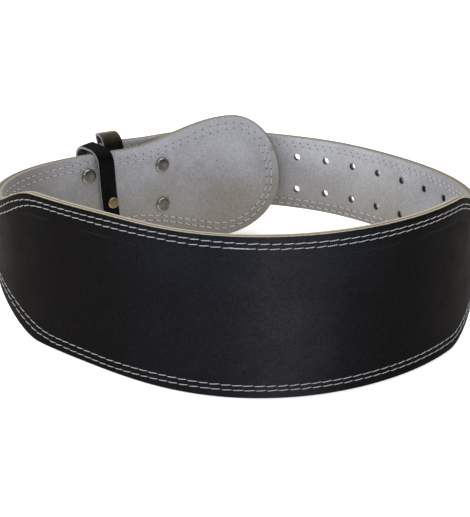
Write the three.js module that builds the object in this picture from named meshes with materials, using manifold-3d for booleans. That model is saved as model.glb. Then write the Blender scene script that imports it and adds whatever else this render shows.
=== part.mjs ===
// A leather weightlifting belt, buckled into a loop and standing on its lower edge.
// Millimetres, +Z up. The wide back of the belt is at -Y, and the flap, buckle and tongue are at +Y.
import * as THREE from 'three';
import { mergeVertices } from 'three/addons/utils/BufferGeometryUtils.js';
import Module from 'manifold-3d';

const wasm = await Module();
wasm.setup();

// Strip: a black shell outside and a suede lining inside, both cut to one outline
const backWidth = 101.6;
const flapWidth = 99;
const neckWidth = 63;
const tongueWidth = 58.4;
const shellThickness = 3;
const liningThickness = 3;
const glueGap = 0.3;
const clearance = 0.3;

// Lengths along the strip from the middle of the back
const wideHalfLength = 155;
const taperLength = 66;

// Loop, as the strip's middle surface seen from above
const loopRadius = 149.7;
const overlapGap = 0.8;
const loopShape = [
  { lobes: 2, along: -0.040, across: 0.013 },
  { lobes: 3, along: -0.002, across: 0.040 },
  { lobes: 4, along: 0.037, across: -0.014 },
  { lobes: 5, along: -0.006, across: -0.002 },
];

// Flap and neck, measured along the strip from the buckle's heel bar
const heelTurn = THREE.MathUtils.degToRad(-163);
const flapReach = 34.5;
const flapEndLength = 39.2;
const neckReach = 56;
const flapInset = 3;
const insetReach = 50;

// Tongue
const tongueLift = 10;
const liftLength = 100;
const tongueBulge = 4;
const bulgeLength = 80;
const tongueSlope = 0.04;
const slopeStart = 66;
const slopeEase = 30;
const tipReach = 113;
const holePitch = 25.4;
const holeRowSpacing = 26.6;
const holeRadius = 3.1;
const holesBeforeProng = 9;
const holesPastProng = 2;

// Buckle: a round wire frame with a roller and two prongs
const barRadius = 2.5;
const frameLength = 40.4;
const frameHeight = 70;
const frameCorner = 8;
const rollerRadius = 4;
const rollerLength = 54;
const prongRadius = 1.9;
const prongOverhang = 6;
const eyeRadius = 4.4;
const eyeLength = 6;

// Strap that carries the buckle, folded round the heel bar and riveted to the neck
const strapThickness = 2.4;
const strapWidth = 48;
const strapReach = 102;
const foldRun = 17;
const slotMargin = 0.8;

// Rivets
const rivetReaches = [26.1, 88.4];
const rivetSpacing = 33.6;
const rivetCap = { radius: 5.9, height: 2 };
const smallCap = { radius: 4.4, height: 1.5 };
const shankRadius = 1.8;
const smallRivetDrop = 6.2;
const smallRivetSide = 2.2;

// Keeper round the neck, and the loose loop round the tongue
const bandThickness = 2.2;
const keeperWidth = 13.2;
const keeperReach = 72.3;
const keeperLean = 0.097;
const keeperSwing = THREE.MathUtils.degToRad(7);
const keeperHeadroom = 2.4;
const keeperSlack = 1.2;
const keeperCorners = [{ near: 3.4, far: 4.2 }, { near: 3.4, far: 9.5 }];
const loopWidth = 16;
const loopPastProng = 78;
const loopLean = 0.2;
const loopHeadroom = 4.8;
const loopSlack = 2;
const loopCorners = [{ near: 5, far: 2 }, { near: 5, far: 2 }];

const wall = liningThickness + glueGap + shellThickness;
const middleHeight = backWidth / 2;
const flapDrop = (backWidth - flapWidth) / 2;
const fullTurn = 2 * Math.PI;

const ease = (share) => THREE.MathUtils.smoothstep(share, 0, 1);
const mix = THREE.MathUtils.lerp;

// Radius of the middle surface at a turn. A turn of 0 is the middle of the back, positive turns run by
// +X to the tongue, and negative ones by -X to the neck and the flap.
function routeRadius(turn) {
  let shape = 1;
  for (const { lobes, along, across } of loopShape) {
    shape += along * Math.cos(lobes * turn) + across * Math.sin(lobes * turn);
  }
  const spiral = (wall + overlapGap) * turn / fullTurn;
  const liftStart = heelTurn + fullTurn - liftLength / loopRadius;
  const lift = tongueLift * ease((turn - liftStart) * loopRadius / liftLength);
  const fromHeel = Math.min(1, Math.abs(turn - heelTurn - fullTurn) * 2 * loopRadius / bulgeLength);
  const pastHeel = (heelTurn - turn) * loopRadius + insetReach;
  const inset = flapInset * ease(pastHeel / (insetReach + flapReach));
  return loopRadius * shape + spiral + lift + tongueBulge * (1 - ease(fromHeel)) - inset;
}

function onRoute(turn) {
  return new THREE.Vector2(Math.sin(turn), -Math.cos(turn)).multiplyScalar(routeRadius(turn));
}

// The route as a list of steps, each with its distance along the strip from the middle of the back
const stepTurn = THREE.MathUtils.degToRad(0.5);
const lastStep = Math.round(THREE.MathUtils.degToRad(270) / stepTurn);
const route = [{ turn: 0, distance: 0 }];
for (const side of [1, -1]) {
  let distance = 0;
  for (let step = 1; step <= lastStep; step++) {
    const turn = side * step * stepTurn;
    distance += side * onRoute(turn).distanceTo(onRoute(turn - side * stepTurn));
    route.push({ turn, distance });
  }
}
route.sort((a, b) => a.turn - b.turn);

function readRoute(from, to, value) {
  const next = THREE.MathUtils.clamp(route.findIndex((step) => step[from] > value), 1, route.length - 1);
  const [a, b] = [route[next - 1], route[next]];
  return mix(a[to], b[to], (value - a[from]) / (b[from] - a[from]));
}
const turnAt = (distance) => readRoute('distance', 'turn', distance);
const distanceAt = (turn) => readRoute('turn', 'distance', turn);

// Local directions of the strip at a distance: along it, and out of the loop
function frameAt(distance) {
  const turn = turnAt(distance);
  const along = onRoute(turn + stepTurn / 2).sub(onRoute(turn - stepTurn / 2)).normalize();
  return { middle: onRoute(turn), along, out: new THREE.Vector2(along.y, -along.x) };
}

// Distances of the parts along the strip
const heel = distanceAt(heelTurn);
const flapMiddle = heel - flapReach;
const flapEnd = flapMiddle - flapEndLength;
const neckStart = heel + neckReach;
const keeper = heel + keeperReach;

// Plan position of a depth counted outward from the lining's inner face
function planPoint(distance, depth) {
  const { middle, out } = frameAt(distance);
  return middle.clone().addScaledVector(out, depth - wall / 2);
}

// Buckle in plan: the heel bar lies on the neck, and the roller presses on the tongue
const heelDepth = wall + clearance + strapThickness + clearance + barRadius;
const heelCentre = planPoint(heel, heelDepth);
const rollerDepth = wall + clearance + rollerRadius;
let rollerDistance = distanceAt(heelTurn + fullTurn) - frameLength / 2;
while (planPoint(rollerDistance, rollerDepth).distanceTo(heelCentre) < frameLength) {
  rollerDistance -= 0.05;
}
const rollerCentre = planPoint(rollerDistance, rollerDepth);
const reachDirection = rollerCentre.clone().sub(heelCentre).normalize();
const liftDirection = new THREE.Vector2(-reachDirection.y, reachDirection.x);
if (liftDirection.dot(rollerCentre) < 0) {
  liftDirection.negate();
}
const prongEnd = rollerCentre.clone()
  .addScaledVector(reachDirection, prongOverhang)
  .addScaledVector(liftDirection, rollerRadius + prongRadius);

// The prongs go through the tongue where their line crosses its middle surface
const prongLine = prongEnd.clone().sub(heelCentre).normalize();
const liftSign = Math.sign(prongLine.cross(liftDirection));
const aboveProng = (point) => liftSign * prongLine.cross(point.clone().sub(heelCentre)) > 0;
let prongHole = rollerDistance;
while (!aboveProng(planPoint(prongHole, wall / 2))) {
  prongHole += 0.05;
}
const tongueTip = prongHole + tipReach;
const looseLoop = prongHole + loopPastProng;

// Height of the strip's middle line over the floor: the flap stands on the floor, and the tongue climbs
function middleAt(distance) {
  if (distance < 0) {
    return middleHeight - flapDrop * ease((neckStart - distance) / (neckStart - flapMiddle));
  }
  const climb = Math.max(0, distance - prongHole + slopeStart);
  const eased = climb < slopeEase ? climb * climb / (2 * slopeEase) : climb - slopeEase / 2;
  return middleHeight + tongueSlope * eased;
}

// Half the strip's width: wide back, tapers to the neck and the tongue, and two round ends
function halfWidthAt(distance) {
  const narrow = (distance > 0 ? tongueWidth : neckWidth) / 2;
  const taper = ease((Math.abs(distance) - wideHalfLength) / taperLength);
  const strip = mix(backWidth / 2, narrow, taper);
  if (distance < flapMiddle) {
    const past = (flapMiddle - distance) / flapEndLength;
    return flapWidth / 2 * Math.sqrt(Math.max(0, 1 - past * past));
  }
  if (distance < neckStart) {
    return mix(narrow, flapWidth / 2, ease((neckStart - distance) / (neckStart - flapMiddle)));
  }
  const past = Math.max(0, distance - tongueTip + tongueWidth / 2) / (tongueWidth / 2);
  return strip * Math.sqrt(Math.max(0, 1 - past * past));
}

// A point of the belt: distance along the strip, depth out from the lining's face, and height over the
// strip's middle line, moved along the strip by an optional shift
function place(distance, depth, height, shift = 0) {
  const point = planPoint(distance, depth).addScaledVector(frameAt(distance).along, shift);
  return new THREE.Vector3(point.x, point.y, middleAt(distance) + height);
}
const upright = (plan, height) => new THREE.Vector3(plan.x, plan.y, height);

// Closed solid through a list of rings with equal counts of points, capped or joined end to end
function sweep(rings, joined = false) {
  const count = rings[0].length;
  const positions = rings.flat().flatMap((point) => point.toArray());
  const index = [];
  const spans = joined ? rings.length : rings.length - 1;
  for (let ring = 0; ring < spans; ring++) {
    for (let side = 0; side < count; side++) {
      const next = (side + 1) % count;
      const [a, b] = [ring * count + side, ring * count + next];
      const [c, d] = [(ring + 1) % rings.length * count + side, (ring + 1) % rings.length * count + next];
      index.push(a, b, c, b, d, c);
    }
  }
  if (!joined) {
    const last = (rings.length - 1) * count;
    for (let side = 1; side < count - 1; side++) {
      index.push(0, side + 1, side, last, last + side, last + side + 1);
    }
  }
  return facingOut(positions, index);
}

// The same triangles turned so that the solid's volume is positive
function facingOut(positions, index) {
  const corner = (slot) => new THREE.Vector3().fromArray(positions, 3 * index[slot]);
  let volume = 0;
  for (let slot = 0; slot < index.length; slot += 3) {
    volume += corner(slot).dot(corner(slot + 1).cross(corner(slot + 2)));
  }
  const geometry = new THREE.BufferGeometry();
  geometry.setAttribute('position', new THREE.Float32BufferAttribute(positions, 3));
  geometry.setIndex(volume > 0 ? index : index.toReversed());
  return geometry;
}

function toSolid(geometry) {
  const bare = geometry.clone();
  bare.deleteAttribute('normal');
  bare.deleteAttribute('uv');
  const merged = mergeVertices(bare, 1e-4);
  return new wasm.Manifold(new wasm.Mesh({
    numProp: 3,
    vertProperties: Float32Array.from(merged.attributes.position.array),
    triVerts: Uint32Array.from(merged.index.array),
  }));
}

function toGeometry(solid) {
  const mesh = solid.getMesh();
  const geometry = new THREE.BufferGeometry();
  geometry.setAttribute('position', new THREE.BufferAttribute(mesh.vertProperties, 3));
  geometry.setIndex(new THREE.BufferAttribute(mesh.triVerts, 1));
  return geometry;
}

// Round pin through the wall, as a tool that cuts holes
function pin(distance, height, radius, depthFrom, depthTo, sides = 12) {
  const ring = (depth) => Array.from({ length: sides }, (_, side) => {
    const angle = fullTurn * side / sides;
    return place(distance, depth, height + radius * Math.sin(angle), radius * Math.cos(angle));
  });
  return toSolid(sweep([ring(depthFrom), ring(depthTo)]));
}

// Stations along the strip, closer together in the round ends
function stripStations() {
  const stations = [];
  const endSteps = 11;
  const endAngle = THREE.MathUtils.degToRad(86);
  for (let step = endSteps; step > 0; step--) {
    stations.push(flapMiddle - flapEndLength * Math.sin(endAngle * step / endSteps));
  }
  const tipStart = tongueTip - tongueWidth / 2;
  const steps = Math.round((tipStart - flapMiddle) / 8);
  for (let step = 0; step <= steps; step++) {
    stations.push(mix(flapMiddle, tipStart, step / steps));
  }
  for (let step = 1; step <= endSteps; step++) {
    stations.push(tipStart + tongueWidth / 2 * Math.sin(endAngle * step / endSteps));
  }
  return stations;
}

const prongRows = [-holeRowSpacing / 2, holeRowSpacing / 2];
const prongHeights = prongRows.map((row) => middleAt(prongHole) + row);

// Prong from the heel bar to its end over the roller, thicker by a margin when it cuts its own hole
function prong(height, margin = 0) {
  const sides = 10;
  const across = new THREE.Vector2(-prongLine.y, prongLine.x);
  const length = prongEnd.distanceTo(heelCentre);
  const sections = [
    { share: 0, thickness: 1 },
    { share: 0.9, thickness: 1 },
    { share: 1, thickness: 0.6 },
  ];
  return toSolid(sweep(sections.map(({ share, thickness }) => {
    const middle = heelCentre.clone().addScaledVector(prongLine, length * share);
    const radius = (prongRadius + margin) * thickness;
    return Array.from({ length: sides }, (_, side) => {
      const angle = fullTurn * side / sides;
      const point = middle.clone().addScaledVector(across, radius * Math.cos(angle));
      return upright(point, height + radius * Math.sin(angle));
    });
  })));
}

// Every rivet: its place on the strip, its cap and the depths between which it clamps
const strapOuterDepth = wall + 2 * (clearance + strapThickness);
const keeperInnerDepth = -clearance - bandThickness;
const rivets = [];
for (const [pair, reach] of rivetReaches.entries()) {
  for (const side of [1, -1]) {
    const name = `rivet_${pair === 0 ? 'near' : 'far'}_${side > 0 ? 'upper' : 'lower'}`;
    rivets.push({
      name, distance: heel + reach, height: side * rivetSpacing / 2, cap: rivetCap,
      from: 0, to: strapOuterDepth,
    });
  }
}
rivets.push({
  name: 'keeper_rivet', distance: keeper - smallRivetSide, height: -smallRivetDrop, cap: smallCap,
  from: keeperInnerDepth, to: strapOuterDepth,
});

const rivetPins = rivets.map(({ distance, height, from, to }) => (
  pin(distance, height, shankRadius + clearance, from - 1, to + 1)));
const prongPins = prongHeights.map((height) => prong(height, clearance));
const holePins = [];
for (let hole = -holesBeforeProng; hole <= holesPastProng; hole++) {
  for (const row of prongRows) {
    holePins.push(pin(prongHole + hole * holePitch, row, holeRadius, -1, wall + 1));
  }
}

// One leather layer of the strip, between two depths, with its holes
function layer(depthFrom, depthTo) {
  const rings = stripStations().map((distance) => {
    const half = halfWidthAt(distance);
    return [
      place(distance, depthFrom, -half), place(distance, depthTo, -half),
      place(distance, depthTo, half), place(distance, depthFrom, half),
    ];
  });
  const pins = [...rivetPins, ...holePins, ...prongPins];
  return toGeometry(pins.reduce((solid, tool) => solid.subtract(tool), toSolid(sweep(rings))));
}

// Strap folded round the heel bar: out along the neck, round the bar and back over itself
function buckleStrap() {
  const half = strapWidth / 2;
  const foldRadius = barRadius + clearance + strapThickness / 2;
  const innerDepth = wall + clearance + strapThickness / 2;
  const outerDepth = strapOuterDepth - strapThickness / 2;
  const foldTop = heelDepth + foldRadius;
  const line = [];
  const legSteps = 12;
  const tail = heel + strapReach;
  for (let step = 0; step <= legSteps; step++) {
    line.push({ distance: mix(tail, heel, step / legSteps), depth: innerDepth, shift: 0 });
  }
  const foldSteps = 10;
  for (let step = 1; step < foldSteps; step++) {
    const angle = Math.PI * step / foldSteps;
    const [depth, shift] = [heelDepth - foldRadius * Math.cos(angle), -foldRadius * Math.sin(angle)];
    line.push({ distance: heel, depth, shift });
  }
  const openSteps = 5;
  for (let step = 0; step <= openSteps; step++) {
    const share = step / openSteps;
    line.push({ distance: heel + foldRun * share, depth: mix(foldTop, outerDepth, ease(share)), shift: 0 });
  }
  for (let step = 1; step <= legSteps; step++) {
    line.push({ distance: mix(heel + foldRun, tail, step / legSteps), depth: outerDepth, shift: 0 });
  }
  const centres = line.map(({ distance, depth, shift }) => (
    planPoint(distance, depth).addScaledVector(frameAt(distance).along, shift)));
  const rings = centres.map((centre, step) => {
    const before = centres[Math.max(step - 1, 0)];
    const after = centres[Math.min(step + 1, centres.length - 1)];
    const across = after.clone().sub(before).normalize();
    const side = new THREE.Vector2(-across.y, across.x).multiplyScalar(strapThickness / 2);
    const [left, right] = [centre.clone().add(side), centre.clone().sub(side)];
    return [
      upright(left, middleHeight - half), upright(right, middleHeight - half),
      upright(right, middleHeight + half), upright(left, middleHeight + half),
    ];
  });
  let strap = toSolid(sweep(rings));
  const slotRadius = foldRadius + strapThickness / 2 + slotMargin;
  for (const height of prongHeights) {
    strap = strap.subtract(upturned(heelCentre, slotRadius, eyeLength + 2 * slotMargin, height));
  }
  return toGeometry(rivetPins.reduce((solid, tool) => solid.subtract(tool), strap));
}

// Upright cylinder about a plan point, centred on a height
function upturned(plan, radius, length, height) {
  const cylinder = new THREE.CylinderGeometry(radius, radius, length, 20);
  cylinder.rotateX(Math.PI / 2);
  cylinder.translate(plan.x, plan.y, height);
  return toSolid(cylinder);
}

// Buckle: wire frame, roller, and two prongs with their eyes on the heel bar
function buckle() {
  const middle = middleAt(prongHole);
  const sides = 10;
  const corners = { near: frameCorner, far: frameCorner };
  const rings = roundedRectangle(frameLength, frameHeight, corners, 4).map(({ x, y, facing }) => {
    const centre = heelCentre.clone().addScaledVector(reachDirection, x + frameLength / 2);
    return Array.from({ length: sides }, (_, side) => {
      const angle = fullTurn * side / sides;
      const sideways = barRadius * Math.cos(angle);
      const point = centre.clone()
        .addScaledVector(reachDirection, sideways * facing.x)
        .addScaledVector(liftDirection, barRadius * Math.sin(angle));
      return upright(point, middle + y + sideways * facing.y);
    });
  });
  let solid = toSolid(sweep(rings, true)).add(upturned(rollerCentre, rollerRadius, rollerLength, middle));
  for (const height of prongHeights) {
    solid = solid.add(prong(height)).add(upturned(heelCentre, eyeRadius, eyeLength, height));
  }
  return toGeometry(solid);
}

// Points round a rectangle with round corners, centred on zero, each with its outward direction. The far
// corners are those at +x.
function roundedRectangle(width, height, corners, cornerSteps) {
  const points = [];
  for (const [index, [sx, sy]] of [[1, 1], [-1, 1], [-1, -1], [1, -1]].entries()) {
    const corner = sx > 0 ? corners.far : corners.near;
    for (let step = 0; step <= cornerSteps; step++) {
      const angle = Math.PI / 2 * (index + step / cornerSteps);
      const facing = new THREE.Vector2(Math.cos(angle), Math.sin(angle));
      points.push({
        x: sx * (width / 2 - corner) + corner * facing.x,
        y: sy * (height / 2 - corner) + corner * facing.y,
        facing,
      });
    }
  }
  return points;
}

// Leather band closed round the strip, between two depths and two heights of its inner face. It leans with
// height, and swings along the strip towards its far side, where its edges turn with it. Each of its two
// edges has corners of its own.
function band({ distance, depths, heights, corners, width, lean, swing = 0 }) {
  const [depth, height] = [(depths[0] + depths[1]) / 2, (heights[0] + heights[1]) / 2];
  const clear = [depths[1] - depths[0], heights[1] - heights[0]];
  const outlines = corners.map((edgeCorners) => roundedRectangle(clear[0], clear[1], edgeCorners, 6));
  const rings = outlines[0].map((_, step) => (
    [[0, 0], [1, 0], [1, 1], [0, 1]].map(([outside, edge]) => {
      const { x, y, facing } = outlines[edge][step];
      const grown = outside * bandThickness;
      const [across, up] = [depth + x + grown * facing.x, height + y + grown * facing.y];
      const reach = Math.max(0, across - depths[0]);
      const turned = swing * Math.min(1, reach / clear[0]);
      const side = (edge - 1 / 2) * width;
      const shift = side * Math.cos(turned) + lean * up + reach * Math.tan(swing);
      return place(distance + shift, across - side * Math.sin(turned), up);
    })));
  return sweep(rings, true);
}

// Rivet with a domed cap on both faces, turned about its own line
function rivet({ distance, height, cap, from, to }) {
  const [low, high] = [from - clearance, to + clearance];
  const domeSteps = 4;
  const profile = [];
  for (let step = 0; step <= domeSteps; step++) {
    const angle = Math.PI / 2 * step / domeSteps;
    profile.push(new THREE.Vector2(cap.radius * Math.sin(angle), low - cap.height * Math.cos(angle)));
  }
  profile.push(new THREE.Vector2(shankRadius, low), new THREE.Vector2(shankRadius, high));
  for (let step = domeSteps; step >= 0; step--) {
    const angle = Math.PI / 2 * step / domeSteps;
    profile.push(new THREE.Vector2(cap.radius * Math.sin(angle), high + cap.height * Math.cos(angle)));
  }
  profile[0].x = 0;
  profile[profile.length - 1].x = 0;
  const { out } = frameAt(distance);
  const geometry = new THREE.LatheGeometry(profile, 20);
  geometry.rotateX(Math.PI / 2);
  geometry.applyMatrix4(new THREE.Matrix4().makeBasis(
    new THREE.Vector3(0, 0, 1), new THREE.Vector3(out.y, -out.x, 0), new THREE.Vector3(out.x, out.y, 0)));
  const foot = place(distance, 0, height);
  geometry.translate(foot.x, foot.y, foot.z);
  return toGeometry(toSolid(geometry));
}

const blackLeather = new THREE.MeshStandardMaterial({ color: 0x1c1c1f, roughness: 0.5, metalness: 0 });
const greySuede = new THREE.MeshStandardMaterial({ color: 0x8f8f92, roughness: 0.95, metalness: 0 });
const strapLeather = new THREE.MeshStandardMaterial({ color: 0x161515, roughness: 0.55, metalness: 0 });
const nickel = new THREE.MeshStandardMaterial({ color: 0xb9b6ae, roughness: 0.3, metalness: 1 });
const brass = new THREE.MeshStandardMaterial({ color: 0xa8926a, roughness: 0.35, metalness: 1 });

const belt = new THREE.Group();
function addPiece(name, geometry, material) {
  const mesh = new THREE.Mesh(geometry, material);
  mesh.name = name;
  belt.add(mesh);
}

addPiece('outer_shell', layer(wall - shellThickness, wall), blackLeather);
addPiece('suede_lining', layer(0, liningThickness), greySuede);
addPiece('buckle_strap', buckleStrap(), strapLeather);
addPiece('buckle', buckle(), nickel);

// The keeper goes round the neck and round the tongue that lies over it
const keeperRivetPin = rivetPins[rivetPins.length - 1];
const tongueOverKeeper = planPoint(distanceAt(turnAt(keeper) + fullTurn), wall);
const tongueOuterDepth = tongueOverKeeper.sub(planPoint(keeper, 0)).dot(frameAt(keeper).out);
const keeperBand = toSolid(band({
  distance: keeper,
  depths: [-clearance, tongueOuterDepth + keeperSlack],
  heights: [-neckWidth / 2 - keeperHeadroom, neckWidth / 2 + keeperHeadroom],
  corners: keeperCorners,
  width: keeperWidth,
  lean: keeperLean,
  swing: keeperSwing,
}));
addPiece('keeper_band', toGeometry(keeperBand.subtract(keeperRivetPin)), strapLeather);
addPiece('tongue_loop', band({
  distance: looseLoop,
  depths: [-clearance, wall + loopSlack],
  heights: [-tongueWidth / 2 - loopHeadroom, tongueWidth / 2 + loopHeadroom],
  corners: loopCorners,
  width: loopWidth,
  lean: loopLean,
}), strapLeather);
for (const part of rivets) {
  addPiece(part.name, rivet(part), part.cap === smallCap ? brass : nickel);
}

// The belt stands centred over the origin
const box = new THREE.Box3().setFromObject(belt);
const centre = box.getCenter(new THREE.Vector3());
belt.position.set(-centre.x, -centre.y, -box.min.z);

export default belt;
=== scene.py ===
import math

import bpy
import bmesh
import numpy as np
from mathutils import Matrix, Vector


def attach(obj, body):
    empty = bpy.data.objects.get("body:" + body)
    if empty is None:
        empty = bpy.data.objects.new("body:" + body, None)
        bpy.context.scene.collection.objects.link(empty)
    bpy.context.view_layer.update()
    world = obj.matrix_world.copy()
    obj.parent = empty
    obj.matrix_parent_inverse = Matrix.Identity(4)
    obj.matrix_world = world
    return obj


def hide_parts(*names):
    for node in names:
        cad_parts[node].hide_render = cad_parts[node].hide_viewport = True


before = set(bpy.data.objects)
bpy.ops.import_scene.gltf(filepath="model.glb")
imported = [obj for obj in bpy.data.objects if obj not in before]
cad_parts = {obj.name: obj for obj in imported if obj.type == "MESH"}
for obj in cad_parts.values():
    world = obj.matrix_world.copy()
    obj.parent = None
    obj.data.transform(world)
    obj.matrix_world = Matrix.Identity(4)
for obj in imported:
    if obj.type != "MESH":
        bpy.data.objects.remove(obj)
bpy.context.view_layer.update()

mm = 0.001
random = np.random.default_rng(11)

# The strip's sizes in millimetres, the same as the solids have. Turn 0 is the middle of the back at -Y.
belt = {
    "wall": 6.3, "joint": 3.15, "backWidth": 101.6, "flapWidth": 99.0, "neckWidth": 63.0, "tongueWidth": 58.4,
    "wideHalfLength": 155.0, "taperLength": 66.0, "radius": 149.7, "overlapGap": 0.8,
    "lobes": (2, 3, 4, 5), "along": (-0.040, -0.002, 0.037, -0.006), "across": (0.013, 0.040, -0.014, -0.002),
    "heelTurn": math.radians(-163), "flapReach": 34.5, "flapEnd": 39.2, "neckReach": 56.0,
    "flapInset": 3.0, "insetReach": 50.0, "lift": 10.0, "liftLength": 100.0, "bulge": 4.0, "bulgeLength": 80.0,
    "slope": 0.04, "slopeStart": 66.0, "slopeEase": 30.0, "prongHole": 510.06, "tipReach": 113.0,
    "centre": (4.566, -12.186),
}


def ease(x):
    x = np.clip(x, 0, 1)
    return x * x * (3 - 2 * x)


def blendTo(a, b, x):
    return a + (b - a) * x


def routeRadius(turn):
    # radius x (1 + sum of cosines and sines of the lobes) + spiral of one wall a turn + lift + bulge - inset
    shape = 1 + sum(a * np.cos(k * turn) + b * np.sin(k * turn)
                    for k, a, b in zip(belt["lobes"], belt["along"], belt["across"]))
    spiral = (belt["wall"] + belt["overlapGap"]) * turn / (2 * math.pi)
    over = belt["heelTurn"] + 2 * math.pi  # the heel bar's turn, met again by the tongue
    lift = belt["lift"] * ease(1 + (turn - over) * belt["radius"] / belt["liftLength"])
    bulge = belt["bulge"] * (1 - ease(np.abs(turn - over) * 2 * belt["radius"] / belt["bulgeLength"]))
    pastHeel = (belt["heelTurn"] - turn) * belt["radius"] + belt["insetReach"]
    inset = belt["flapInset"] * ease(pastHeel / (belt["insetReach"] + belt["flapReach"]))
    return belt["radius"] * shape + spiral + lift + bulge - inset


# The route as a table: turn, distance along the strip, place in plan, and the direction along it
routeTurn = np.radians(np.arange(-270, 270.01, 0.1))
routeX = np.sin(routeTurn) * routeRadius(routeTurn)
routeY = -np.cos(routeTurn) * routeRadius(routeTurn)
routeStep = np.hypot(np.diff(routeX), np.diff(routeY))
routeDistance = np.concatenate([[0], np.cumsum(routeStep)])
routeDistance -= np.interp(0, routeTurn, routeDistance)
alongX, alongY = np.gradient(routeX), np.gradient(routeY)
alongLength = np.hypot(alongX, alongY)
alongX, alongY = alongX / alongLength, alongY / alongLength

heel = float(np.interp(belt["heelTurn"], routeTurn, routeDistance))
flapMiddle = heel - belt["flapReach"]
neckStart = heel + belt["neckReach"]
tongueTip = belt["prongHole"] + belt["tipReach"]
tipRadius = belt["tongueWidth"] / 2


def planPoint(distance, depth):
    # middle line of the strip + outward normal x (depth - half the wall), moved to the box's centre
    ax, ay = np.interp(distance, routeDistance, alongX), np.interp(distance, routeDistance, alongY)
    size = np.hypot(ax, ay)
    out = depth - belt["wall"] / 2
    x = np.interp(distance, routeDistance, routeX) + ay / size * out + belt["centre"][0]
    y = np.interp(distance, routeDistance, routeY) - ax / size * out + belt["centre"][1]
    return x, y


def middleAt(distance):
    # half the back's width, less the flap's drop to the floor, and the tongue's eased climb
    drop = (belt["backWidth"] - belt["flapWidth"]) / 2 * ease((neckStart - distance) / (neckStart - flapMiddle))
    climb = np.maximum(0, distance - belt["prongHole"] + belt["slopeStart"])
    start = belt["slopeEase"]
    eased = np.where(climb < start, climb ** 2 / (2 * start), climb - start / 2)
    return belt["backWidth"] / 2 - np.where(distance < 0, drop, 0) + belt["slope"] * eased


def halfWidthAt(distance):
    narrow = np.where(distance > 0, belt["tongueWidth"], belt["neckWidth"]) / 2
    strip = blendTo(belt["backWidth"] / 2, narrow, ease((np.abs(distance) - belt["wideHalfLength"]) / belt["taperLength"]))
    flap = blendTo(narrow, belt["flapWidth"] / 2, ease((neckStart - distance) / (neckStart - flapMiddle)))
    return np.where(distance < neckStart, flap, strip)


def stripPoint(distance, height, depth):
    # a point of the belt in metres: distance along the strip, height over its middle line, depth from the inner face
    x, y = planPoint(distance, depth)
    z = middleAt(distance) + height
    return np.stack(np.broadcast_arrays(x, y, z), axis=-1) * mm


def makePiece(name, points, quads, materials, attributes=None, faceMaterial=None, merge=1e-6):
    # one closed mesh from points in metres and a list of faces, with its doubles merged and faces turned outwards
    mesh = bpy.data.meshes.new(name)
    mesh.from_pydata(points.reshape(-1, 3).tolist(), [], [list(q) for q in quads])
    for key, values in (attributes or {}).items():
        layer = mesh.attributes.new(key, "FLOAT", "POINT")
        layer.data.foreach_set("value", np.ascontiguousarray(values, dtype=np.float32).ravel())
    for material in materials:
        mesh.materials.append(material)
    if faceMaterial is not None:
        mesh.polygons.foreach_set("material_index", np.ascontiguousarray(faceMaterial, dtype=np.int32))
    if merge:
        cleaner = bmesh.new()
        cleaner.from_mesh(mesh)
        bmesh.ops.remove_doubles(cleaner, verts=cleaner.verts, dist=merge)
        bmesh.ops.dissolve_degenerate(cleaner, dist=merge, edges=cleaner.edges)
        bmesh.ops.recalc_face_normals(cleaner, faces=cleaner.faces)
        cleaner.to_mesh(mesh)
        cleaner.free()
    mesh.polygons.foreach_set("use_smooth", np.ones(len(mesh.polygons), dtype=bool))
    mesh.update()
    piece = bpy.data.objects.new(name, mesh)
    bpy.context.scene.collection.objects.link(piece)
    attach(piece, "root")
    return piece


def gridQuads(rows, columns, closeRows=False, closeColumns=False):
    # corner numbers of the cells of a grid of points, wrapped round where it closes
    i = np.arange(rows if closeRows else rows - 1)[:, None]
    j = np.arange(columns if closeColumns else columns - 1)[None, :]
    a = i * columns + j
    b = i * columns + (j + 1) % columns
    c = (i + 1) % rows * columns + (j + 1) % columns
    d = (i + 1) % rows * columns + j
    return np.stack([a, b, c, d], axis=-1)


# ---- materials: node helpers and the shared effects

def addNode(tree, kind, values=None, **settings):
    node = tree.nodes.new(kind)
    for key, value in settings.items():
        setattr(node, key, value)
    for key, value in (values or {}).items():
        node.inputs[key].default_value = value
    return node


def mathNode(tree, operation, first, second=0.0, third=None):
    node = addNode(tree, "ShaderNodeMath", operation=operation)
    for slot, value in enumerate([first, second, third]):
        if isinstance(value, (int, float)):
            node.inputs[slot].default_value = value
        elif value is not None:
            tree.links.new(value, node.inputs[slot])
    return node.outputs[0]


def rampNode(tree, value, low, high):
    # 0 below low, 1 above high, eased between them
    node = addNode(tree, "ShaderNodeMapRange", {"From Min": low, "From Max": high}, interpolation_type="SMOOTHSTEP")
    tree.links.new(value, node.inputs["Value"])
    return node.outputs["Result"]


def mixColours(tree, share, first, second, blend="MIX"):
    node = addNode(tree, "ShaderNodeMix", data_type="RGBA", blend_type=blend)
    for slot, value in ((0, share), (6, first), (7, second)):
        if isinstance(value, (int, float)):
            node.inputs[slot].default_value = value
        elif isinstance(value, tuple):
            node.inputs[slot].default_value = (*value, 1)
        else:
            tree.links.new(value, node.inputs[slot])
    return node.outputs[2]


def readAttribute(tree, name):
    return addNode(tree, "ShaderNodeAttribute", attribute_name=name).outputs["Fac"]


def newGroup(name, inputs, outputs):
    group = bpy.data.node_groups.new(name, "ShaderNodeTree")
    for key, value in inputs.items():
        group.interface.new_socket(key, in_out="INPUT", socket_type="NodeSocketFloat").default_value = value
    for key in outputs:
        group.interface.new_socket(key, in_out="OUTPUT", socket_type="NodeSocketFloat")
    return group, group.nodes.new("NodeGroupInput"), group.nodes.new("NodeGroupOutput")


def placeGroup(tree, group, **values):
    node = tree.nodes.new("ShaderNodeGroup")
    node.node_tree = group
    for key, value in values.items():
        node.inputs[key].default_value = value
    return node


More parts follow.
